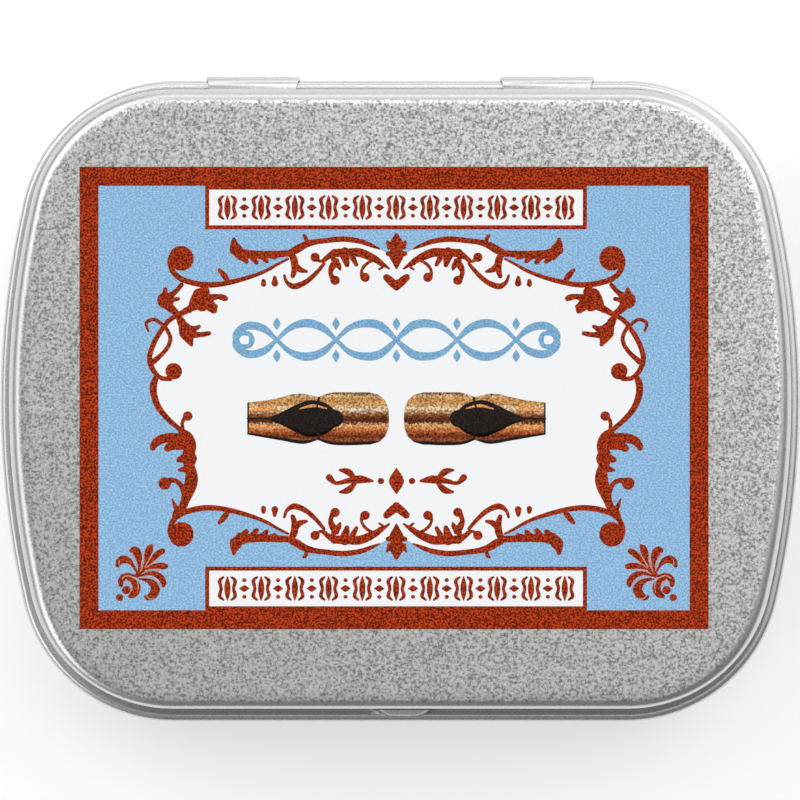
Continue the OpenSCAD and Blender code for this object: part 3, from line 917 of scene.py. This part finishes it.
cartouche = {
    # left half of the white ground's edge, from the top down, from the artwork's middle
    "edge": [
        (0, 10.74), (-0.78, 10.71), (-1.3, 10.99), (-1.88, 11.24), (-2.75, 11.54), (-3.98, 11.7),
        (-5.47, 11.56), (-6.76, 11.3), (-7.4, 10.94), (-7.85, 10.63), (-8.07, 10.22), (-8.82, 9.84),
        (-9.71, 9.34), (-10.69, 8.95), (-11.93, 8.59), (-13.16, 8.34), (-14.27, 8.3),
        (-15.26, 8.47), (-15.99, 8.46), (-16.48, 7.79), (-16.85, 7.31), (-16.78, 6.72),
        (-16.48, 6.17), (-16.85, 5.69), (-17.28, 5.23), (-18, 4.07), (-18.37, 2.92), (-18.16, 2.06),
        (-17.85, 1.51), (-18.06, 0.92), (-18.06, 0.17), (-17.69, -0.84), (-16.96, -1.73),
        (-16.08, -2.48), (-15.66, -3.03), (-15.51, -4), (-15.51, -5.48), (-15.59, -6.75),
        (-15.74, -7.94), (-16.11, -8.53), (-15.26, -8.47), (-14.27, -8.3), (-13.16, -8.34),
        (-11.93, -8.59), (-10.69, -8.95), (-9.71, -9.34), (-8.82, -9.84), (-8.07, -10.22),
        (-7.85, -10.63), (-7.4, -10.94), (-6.76, -11.3), (-5.47, -11.56), (-3.98, -11.7),
        (-2.75, -11.54), (-1.88, -11.24), (-1.3, -10.99), (-0.78, -10.71), (0, -10.74),
    ],
}
middleX, middleY = panel["middle"]
leftEdge = [(middleX + x, middleY + y) for x, y in cartouche["edge"]]
rightEdge = [(middleX - x, middleY + y) for x, y in reversed(cartouche["edge"][1:-1])]
ground = makePatch(leftEdge + rightEdge, panel["low"], panel["white"])
dress(ground, "whiteGround", whiteInk, "cover", ["print_cartouche"])

fleuron = ornament["axis"] + ornament["petals"]
fleuron += mirrored(ornament["petals"])
scrollwork = makeStrokes(ornament["scrolls"], panel["line"], mirrorX=True, mirrorY=True)
axisLines = makeStrokes(fleuron, panel["line"], mirrorY=True, lift=panel["axisLift"])
sideLines = makeStrokes(ornament["sides"], panel["line"], mirrorX=True, lift=panel["sideLift"])
cornerLines = makeStrokes(ornament["palmettes"], panel["line"], mirrorX=True)
join(scrollwork, [axisLines, sideLines, cornerLines])
dress(scrollwork, "redScrollwork", redInk, "cover")
smooth(scrollwork, panel["smoothAngle"])
leafVeins = makeStrokes(ornament["veins"], panel["detail"], mirrorX=True)
dress(leafVeins, "leafVeins", roseInk, "cover")

plate = {
    "width": 3.25,
    "line": 0.3,
    "margin": 1.65,
    "units": 10,
    # one unit of the running ornament: strokes from its middle
    "unit": [
        [(0, -0.86, 0.1), (0, -0.3, 0.42), (0, 0.3, 0.42), (0, 0.86, 0.1)],
        [(0.3, 0.84, 0.16), (0.58, 0.56, 0.28), (0.46, 0, 0.24), (0.58, -0.56, 0.28),
         (0.3, -0.84, 0.16)],
        [(-0.3, 0.84, 0.16), (-0.58, 0.56, 0.28), (-0.46, 0, 0.24), (-0.58, -0.56, 0.28),
         (-0.3, -0.84, 0.16)],
    ],
    # what stands between two units
    "link": [
        [(-0.3, 0, 0.14), (0, 0, 0.5), (0.3, 0, 0.14)],
        [(0, 0.62, 0.3), (0.01, 0.62, 0.3)],
        [(0, -0.62, 0.3), (0.01, -0.62, 0.3)],
    ],
}
plateBox = [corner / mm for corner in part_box("title_plates")]
plates = []
plateFrames = []
for low, high in (
    ((plateBox[0][0], plateBox[0][1]), (plateBox[1][0], plateBox[0][1] + plate["width"])),
    ((plateBox[0][0], plateBox[1][1] - plate["width"]), (plateBox[1][0], plateBox[1][1])),
):
    outline = boxOutline(low, high)
    plates.append(makePatch(outline, panel["low"], panel["white"]))
    rim = makePatch(outline, panel["low"], panel["line"])
    editAll(rim, "FACE")
    pick(rim, "FACE", lambda place, normal: abs(normal.z) > 0.9)
    bpy.ops.mesh.inset(thickness=plate["line"] * mm, use_individual=True)
    bpy.ops.mesh.bridge_edge_loops()
    bpy.ops.mesh.select_all(action="SELECT")
    bpy.ops.mesh.normals_make_consistent(inside=False)
    bpy.ops.object.mode_set(mode="OBJECT")
    plateFrames.append(rim)
    middle = (low[1] + high[1]) / 2 - middleY
    span = (high[0] - low[0]) / 2 - plate["margin"]
    centre = (low[0] + high[0]) / 2 - middleX
    pitch = span / plate["units"]
    row = []
    for i in range(2 * plate["units"] + 1):
        x = centre - span + pitch * i
        for points in plate["link" if i % 2 else "unit"]:
            row.append(placed(points, x, middle))
    plateFrames.append(makeStrokes(row, panel["detail"]))
join(plates[0], plates[1:])
dress(plates[0], "titlePlates", whiteInk, "cover", ["title_plates"])
join(plateFrames[0], plateFrames[1:])
dress(plateFrames[0], "plateOrnament", redInk, "cover")
print("panel printed")

penWork = {
    "flourishHeight": 4.2,
    "flourish": [
        (0, 0, 0.3), (1.2, 1.05, 0.62), (2.4, 1.22, 0.6), (3.5, 0.9, 0.44), (4.5, 0, 0.3),
        (5.5, -0.9, 0.56), (6.7, -1.25, 0.64), (7.9, -0.9, 0.44), (8.9, 0, 0.3), (9.9, 0.85, 0.56),
        (11.1, 1.05, 0.6), (11.95, 0.4, 0.5), (11.7, -0.4, 0.4), (10.95, -0.45, 0.34),
        (10.75, 0.0, 0.42),
    ],
    # small lozenges above and below each place where the strokes cross
    "crossings": (0, -8.9, 8.9, -4.5, 4.5),
    "drop": 1.2,
    "lozenge": [(0, -0.42, 0.1), (0, 0, 0.56), (0, 0.42, 0.1)],
    "dividerHeight": -6.3,
    # the middle lozenge of the divider, then what stands on each side of it
    "divider": [
        [(0, -0.9, 0.16), (0, 0, 1.15), (0, 0.9, 0.16)],
        [(-1.15, 0, 0.48), (-1.16, 0, 0.48)],
        [(-1.8, 0, 0.2), (-2.7, 0.12, 0.62), (-3.7, 0, 0.4), (-4.5, -0.16, 0.3),
         (-5.0, 0.26, 0.52)],
        [(-3.1, 0.2, 0.3), (-3.6, 0.68, 0.52), (-4.2, 0.82, 0.2)],
        [(-3.1, -0.2, 0.3), (-3.6, -0.68, 0.52), (-4.2, -0.82, 0.2)],
    ],
}

level = penWork["flourishHeight"]
flourish = [placed(penWork["flourish"], 0, level, side) for side in (-1, 1)]
flourish += mirrored(flourish)
for x in penWork["crossings"]:
    for side in (-1, 1):
        flourish.append(placed(penWork["lozenge"], x, level + side * penWork["drop"]))
flourish = makeStrokes(flourish, panel["line"])
dress(flourish, "blueFlourish", penBlue, "cover")
smooth(flourish, panel["smoothAngle"])

divider = [placed(points, 0, penWork["dividerHeight"]) for points in penWork["divider"]]
divider = makeStrokes(divider + mirrored(divider[1:]), panel["line"])
dress(divider, "redDivider", redInk, "cover")
smooth(divider, panel["smoothAngle"])

nibPicture = {
    "height": -1.65,
    "half": 1.95,
    # right half of the picture: upper edge of a nib that points outwards
    "edge": [
        (0.55, 0.0), (0.6, 0.75), (0.85, 1.35), (1.3, 1.76), (2.0, 1.95), (4.7, 1.95), (5.3, 1.82),
        (5.8, 1.6), (6.3, 1.72), (7.0, 1.86), (7.8, 1.8), (8.6, 1.58), (9.6, 1.36), (11.1, 1.2),
    ],
    # the reservoir that lies on each nib, and the lines that draw it
    "dark": [
        [(4.6, 0.0, 1.3), (5.3, 0.0, 2.3), (6.4, 0.0, 2.75), (7.4, 0.0, 2.1), (8.4, 0.0, 1.1),
         (9.3, 0.0, 0.3)],
        [(9.2, 0, 0.16), (10.1, 0, 0.12), (11.1, 0, 0.1)],
        [(5.75, -1.55, 0.16), (5.95, -0.6, 0.2), (5.95, 0.6, 0.2), (5.75, 1.55, 0.16)],
        [(1.5, -1.72, 0.16), (2.6, -1.84, 0.24), (4.7, -1.84, 0.24), (5.8, -1.52, 0.16)],
        [(6.1, -1.6, 0.16), (7.0, -1.76, 0.26), (8.4, -1.55, 0.22), (11.0, -1.14, 0.14)],
        [(11.04, -1.12, 0.12), (11.04, 1.12, 0.12)],
    ],
    "warm": [
        [(5.2, 0.75, 0.1), (6.2, 0.95, 0.26), (7.2, 0.72, 0.1)],
        [(8.9, 0.66, 0.14), (9.8, 0.74, 0.42), (10.8, 0.6, 0.2)],
        [(8.9, -0.66, 0.14), (9.8, -0.7, 0.42), (10.8, -0.6, 0.2)],
    ],
    "warmRise": 0.001,
}
pictureY = middleY + nibPicture["height"]
nibDrawings = []
for side in (-1, 1):
    outline = [(middleX + side * x, pictureY + y) for x, y in nibPicture["edge"]]
    outline += [(middleX + side * x, pictureY - y) for x, y in reversed(nibPicture["edge"][1:])]
    nibDrawings.append(makePatch(outline, panel["low"], panel["line"]))
half = nibPicture["half"]
copperInk = makeCopperInk("copperInk", pictureY - half, pictureY + half)
dress(join(nibDrawings[0], nibDrawings[1:]), "nibPicture", copperInk, "cover")
for kind, top, ink, name in (
    ("dark", panel["detail"], umberInk, "nibPictureShade"),
    ("warm", panel["detail"] + nibPicture["warmRise"], paleInk, "nibPictureGlow"),
):
    lines = []
    for points in nibPicture[kind]:
        line = placed(points, 0, nibPicture["height"])
        lines += mirrored([line]) + [line]
    dress(makeStrokes(lines, top), name, ink, "cover")
print("pen work drawn")

for node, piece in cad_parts.items():
    if node.startswith(("nib_", "reservoir_")):
        piece.data.materials.clear()
        piece.data.materials.append(nibBronze if node.startswith("nib_") else darkBrass)
print("nibs finished")

studio = {
    "cameraDistance": 620.0,
    "outlineHeight": tin["beadHeight"],  # the bead is the tin's outline in the picture
    "pictureWidth": 800,
    "sensorWidth": 36,
    "pixelsPerMm": 13.32,
    "centre": (-0.0075, 0.098),
    "floorSize": 60,
    "floorShade": 0.6,
    "floorRoughness": 0.9,
    "floorGloss": 0.1,
    "floorLift": 0.48,  # brings the lit floor up to white where it is seen
    "evenLight": 0.22,
    # soft lights on top of the even one: azimuth from +X, elevation, sharpness, strength
    "softLights": [
        (60, 5, 30, 0.4),
        (30, 22, 26, 0.06),
        (60, 22, 26, 2.0),
        (90, 22, 26, 1.31),
        (30, 40, 26, 2.04),
        (120, 40, 26, 1.93),
        (150, 40, 26, 2.37),
        (180, 40, 26, 0.55),
        (210, 40, 26, 2.38),
        (0, 58, 26, 0.34),
        (45, 58, 26, 0.53),
        (135, 58, 26, 0.51),
        (45, 72, 90, 4.15),
        (90, 72, 90, 2.38),
    ],
}

clearSelection()
bpy.ops.mesh.primitive_plane_add(size=studio["floorSize"], location=(0, 0, 0))
floor = bpy.context.object
floor.name = "floor"
floorPaper = bpy.data.materials.new("floorPaper")
floorPaper.use_nodes = True
tree = floorPaper.node_tree
shader = tree.nodes["Principled BSDF"]
shade = studio["floorShade"]
shader.inputs["Base Color"].default_value = (shade, shade, shade, 1)
shader.inputs["Roughness"].default_value = studio["floorRoughness"]
shader.inputs["Specular IOR Level"].default_value = studio["floorGloss"]
shader.inputs["Emission Color"].default_value = (1, 1, 1, 1)
lightPath = tree.nodes.new("ShaderNodeLightPath")
seen = lightPath.outputs["Is Camera Ray"]
for ray in ("Is Glossy Ray", "Is Transmission Ray"):
    seen = addMath(tree, "MAXIMUM", seen, lightPath.outputs[ray])
lift = addMath(tree, "MULTIPLY", seen, studio["floorLift"])
tree.links.new(lift, shader.inputs["Emission Strength"])
floorPaper.cycles.emission_sampling = "NONE"  # the lift is seen, it lights nothing
floor.data.materials.append(floorPaper)

world = bpy.data.worlds.new("studioWorld")
bpy.context.scene.world = world
world.use_nodes = True
tree = world.node_tree
background = tree.nodes["Background"]
background.inputs["Color"].default_value = (1, 1, 1, 1)
direction = tree.nodes.new("ShaderNodeTexCoord").outputs["Generated"]
glow = studio["evenLight"]
for azimuth, elevation, sharpness, strength in studio["softLights"]:
    turned, raised = math.radians(azimuth), math.radians(elevation)
    towards = tree.nodes.new("ShaderNodeVectorMath")
    towards.operation = "DOT_PRODUCT"
    towards.inputs[1].default_value = (
        math.cos(raised) * math.cos(turned),
        math.cos(raised) * math.sin(turned),
        math.sin(raised),
    )
    tree.links.new(direction, towards.inputs[0])
    light = addMath(tree, "MAXIMUM", towards.outputs["Value"], 0.0)
    light = addMath(tree, "POWER", light, sharpness)
    light = addMath(tree, "MULTIPLY", light, strength)
    glow = addMath(tree, "ADD", light, glow)
tree.links.new(glow, background.inputs["Strength"])

cameraData = bpy.data.cameras.new("camera")
camera = bpy.data.objects.new("camera", cameraData)
bpy.context.scene.collection.objects.link(camera)
viewWidth = studio["pictureWidth"] / studio["pixelsPerMm"]
cameraData.sensor_width = studio["sensorWidth"]
cameraData.lens = studio["sensorWidth"] * studio["cameraDistance"] / viewWidth
cameraData.clip_start = 0.01
cameraData.clip_end = studio["floorSize"]
cameraHeight = studio["cameraDistance"] + studio["outlineHeight"]
camera.location = Vector((*studio["centre"], cameraHeight)) * mm
camera.rotation_euler = (0, 0, 0)
bpy.context.scene.camera = camera
bpy.context.scene.view_settings.view_transform = "Standard"
print("studio set")
